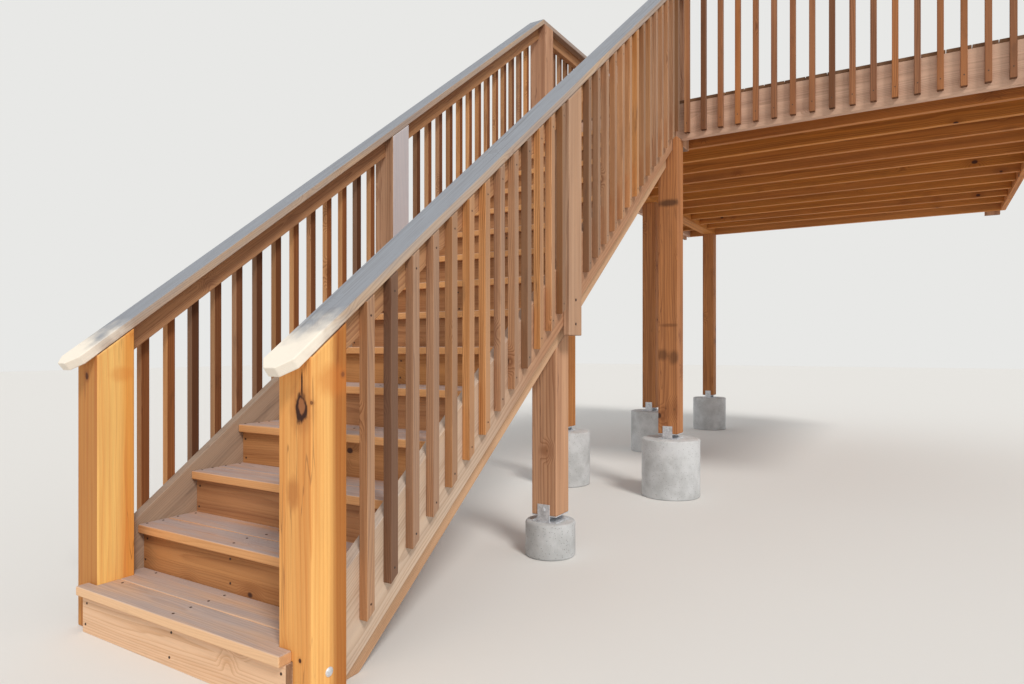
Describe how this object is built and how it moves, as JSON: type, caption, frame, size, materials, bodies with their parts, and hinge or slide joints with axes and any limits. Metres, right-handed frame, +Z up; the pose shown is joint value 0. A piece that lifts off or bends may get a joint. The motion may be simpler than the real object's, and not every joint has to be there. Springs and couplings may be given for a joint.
{
  "type": "wooden deck stairs",
  "caption": "Straight outdoor timber stair with closed risers, square balusters and sloped cap rails, climbing to a raised deck on posts and concrete piers.",
  "frame": {"origin": "middle of the ledger's face against the house wall", "axes": "+X into the house wall, +Y along the climb of the flight and on over the deck, +Z up"},
  "size_m": [3.846, 8.6887, 4.0681],
  "materials": {
    "post_timber": "rough-sawn cedar, weathered",
    "cap_timber": "weathered grey timber",
    "baluster_timber": "sawn timber",
    "rail_timber": "sawn timber",
    "tread_timber": "sawn timber with worn tops",
    "riser_timber": "sawn timber",
    "skirt_timber": "pale sawn timber",
    "frame_timber": "sawn timber",
    "rim_timber": "sawn timber",
    "decking_timber": "sawn timber",
    "galvanised_steel": "galvanised",
    "concrete": "cast concrete"
  },
  "bodies": {
    "root": {"bottom_riser": "riser_timber", "bottom_tread": "tread_timber", "deck_boards": "decking_timber", "edge_beam": "frame_timber", "front_guard_balusters": "baluster_timber", "front_guard_cap": "cap_timber", "front_guard_rail": "rail_timber", "front_left_post": "post_timber", "front_right_post": "post_timber", "front_rim": "rim_timber", "front_wall_post": "post_timber", "house_ledger": "frame_timber", "joists": "frame_timber", "left_flight_support": "post_timber", "left_guard_balusters": "baluster_timber", "left_guard_cap": "cap_timber", "left_guard_post": "post_timber", "left_guard_rails": "rail_timber", "left_mid_post": "post_timber", "left_newel": "post_timber", "left_rim": "rim_timber", "left_skirt": "skirt_timber", "left_stair_balusters": "baluster_timber", "left_stair_cap": "cap_timber", "left_stair_rails": "rail_timber", "left_stringer": "frame_timber", "left_top_post": "post_timber", "middle_left_post": "post_timber", "middle_stringer": "frame_timber", "piers": "concrete", "post_bases": "galvanised_steel", "rear_guard_balusters": "baluster_timber", "rear_guard_cap": "cap_timber", "rear_guard_rail": "rail_timber", "rear_left_guard_post": "post_timber", "rear_left_post": "post_timber", "rear_rim": "rim_timber", "rear_wall_post": "post_timber", "right_flight_support": "post_timber", "right_mid_post": "post_timber", "right_newel": "post_timber", "right_post_cap": "cap_timber", "right_skirt": "skirt_timber", "right_stair_balusters": "baluster_timber", "right_stair_cap": "cap_timber", "right_stair_rails": "rail_timber", "right_stringer": "frame_timber", "right_top_post": "post_timber", "risers": "riser_timber", "tread_back_boards": "tread_timber", "tread_front_boards": "tread_timber"}
  },
  "joints": []
}
